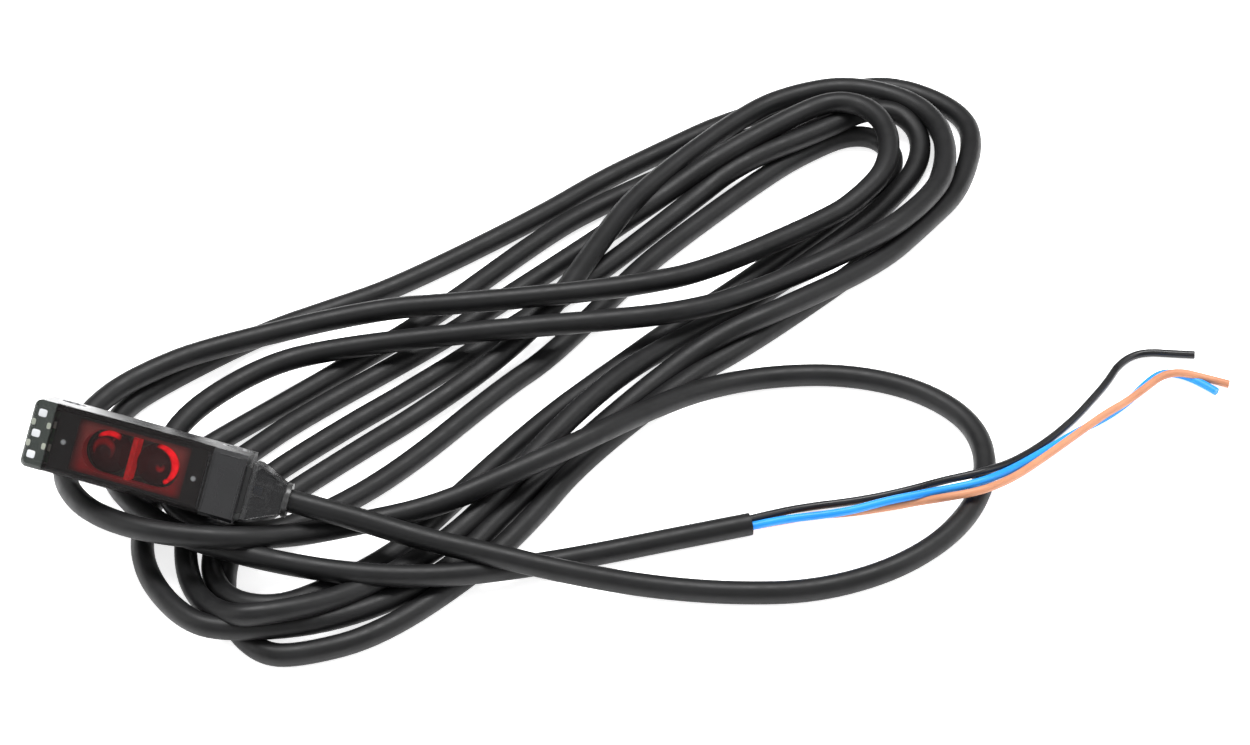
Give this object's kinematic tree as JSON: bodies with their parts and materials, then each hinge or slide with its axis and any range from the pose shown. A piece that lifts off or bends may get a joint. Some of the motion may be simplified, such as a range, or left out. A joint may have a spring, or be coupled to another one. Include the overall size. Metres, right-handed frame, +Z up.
{
  "type": "photoelectric sensor",
  "caption": "Miniature photoelectric sensor with a smoked housing, red optics window and a coiled lead ending in three open cores.",
  "frame": {"origin": "middle of the mounting bore beside the lead, on the bore axis", "axes": "+Z up from the surface that the lead lies on, +X along the body towards the lead as it lies, +Y away from the viewer behind the body; the body leans on its coil, so its own axes are turned by yaw -11.5, pitch 10.3 and roll -41 degrees from the frame"},
  "size_m": [0.1469, 0.1098, 0.0206],
  "materials": {
    "smoked_plastic": "semi-gloss",
    "smoked_cover": "gloss",
    "clear_plastic": "gloss",
    "clear_smoke": "gloss",
    "black_plastic": "matte",
    "red_plastic": "gloss",
    "lens_plastic": "gloss",
    "chip_white": "matte",
    "chip_black": "matte",
    "circuit_board": "satin",
    "tinned_brass": "satin",
    "steel": "satin",
    "rubber": "matte",
    "wire_black": "semi-gloss",
    "wire_blue": "semi-gloss",
    "wire_brown": "semi-gloss",
    "cable_jacket": "satin"
  },
  "bodies": {
    "sensor": {"housing": "smoked_plastic", "front_cover": "smoked_cover", "indicator_window": "clear_plastic", "mask_plate": "black_plastic", "lens_frame": "red_plastic", "transmitter_lens": "lens_plastic", "receiver_lens": "lens_plastic", "optical_divider": "red_plastic", "transmitter_hood": "black_plastic", "receiver_hood": "black_plastic", "emitter_led": "chip_white", "receiver_chip": "chip_black", "optics_board": "circuit_board", "signal_ic": "chip_black", "main_board": "circuit_board", "voltage_regulator": "chip_black", "output_transistor": "chip_black", "passive_components": "chip_black", "indicator_board": "circuit_board", "green_indicator_led": "chip_white", "orange_indicator_led": "chip_white", "solder_lugs": "tinned_brass", "mounting_bushes": "steel", "cable_end_cap": "clear_smoke", "crimp_sleeve": "tinned_brass", "cable_seal_ring": "rubber", "inner_wire_black": "wire_black", "inner_wire_blue": "wire_blue", "inner_wire_brown": "wire_brown", "cable_lead": "cable_jacket", "cable_hank": "cable_jacket", "cable_tail": "cable_jacket", "core_black": "wire_black", "core_blue": "wire_blue", "core_brown": "wire_brown"}
  },
  "joints": []
}
